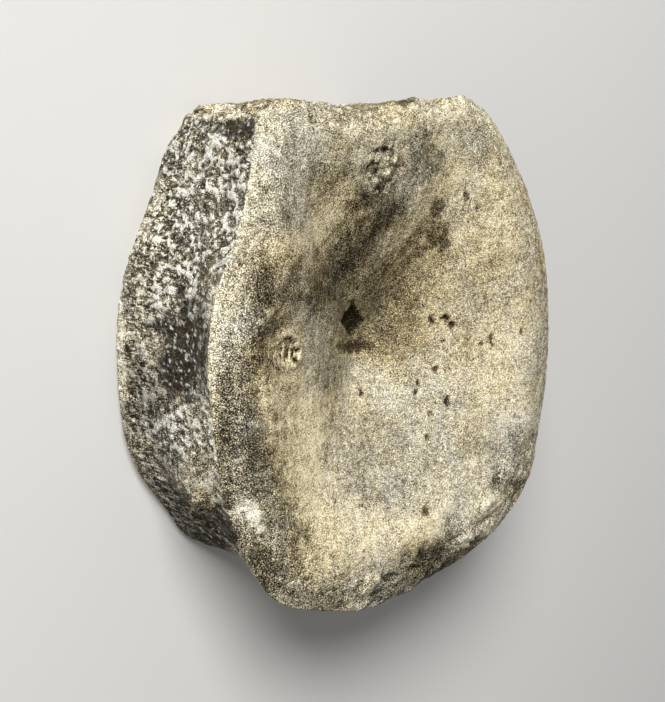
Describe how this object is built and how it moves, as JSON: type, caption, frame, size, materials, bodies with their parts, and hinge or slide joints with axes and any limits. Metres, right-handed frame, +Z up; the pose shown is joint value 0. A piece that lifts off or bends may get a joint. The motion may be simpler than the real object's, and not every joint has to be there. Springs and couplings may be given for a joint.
{
  "type": "fossil ichthyosaur vertebra",
  "caption": "Life-size fossil ichthyosaur vertebra: a short drum-shaped centrum, deeply hollow in both end faces, lying on its hind face.",
  "frame": {"origin": "on the floor under the middle of the bone's box", "axes": "+X across the body, +Y towards the animal's back (the neural canal side), +Z up, along the spine, out of the face the picture shows"},
  "size_m": [0.0834, 0.0936, 0.0362],
  "materials": {
    "fossil_bone": "mottled cream, grey and black mineralised bone, matte and finely grained"
  },
  "bodies": {
    "root": {"centrum": "fossil_bone"}
  },
  "joints": []
}
